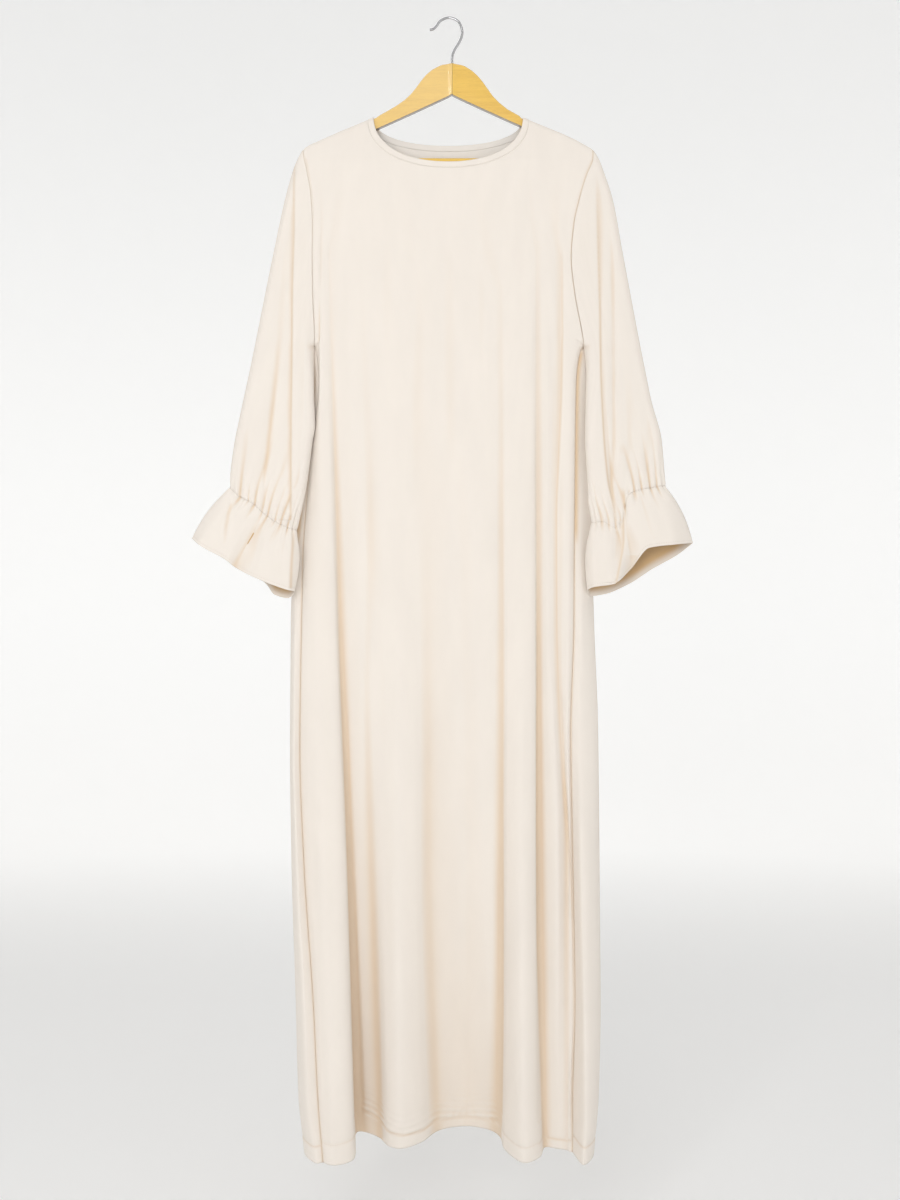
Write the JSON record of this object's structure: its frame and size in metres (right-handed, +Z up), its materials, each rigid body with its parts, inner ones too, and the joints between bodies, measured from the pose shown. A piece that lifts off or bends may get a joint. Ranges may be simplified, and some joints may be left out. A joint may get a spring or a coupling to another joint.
{
  "type": "abaya on a wooden coat hanger",
  "caption": "Plain full-length pullover abaya with a round neck, wide sleeves and gathered flounced cuffs, hung on a wooden coat hanger with a wire hook and a trouser bar.",
  "frame": {"origin": "inside of the hook's crown, where the hook rests on a rail or a peg", "axes": "+X to the viewer's right, the garment's front faces -Y, +Z up"},
  "size_m": [0.689, 0.133, 1.5724],
  "materials": {
    "crepe": "matt cream crepe with a fine pebbled weave",
    "varnished_wood": "honey coloured, clear satin varnish",
    "bar_wood": "honey coloured, clear satin varnish",
    "chrome_wire": "bright plated wire"
  },
  "bodies": {
    "root": {"front_bodice": "crepe", "front_skirt_upper": "crepe", "front_skirt_lower": "crepe", "back_bodice": "crepe", "back_skirt_upper": "crepe", "back_skirt_lower": "crepe", "sleeve_left_upper": "crepe", "sleeve_left_middle": "crepe", "sleeve_left_lower": "crepe", "sleeve_right_upper": "crepe", "sleeve_right_lower": "crepe", "cuff_flounce_left": "crepe", "cuff_flounce_right": "crepe", "neck_band": "crepe", "hanger_arms": "varnished_wood", "trouser_bar": "bar_wood", "hanger_hook": "chrome_wire"}
  },
  "joints": []
}
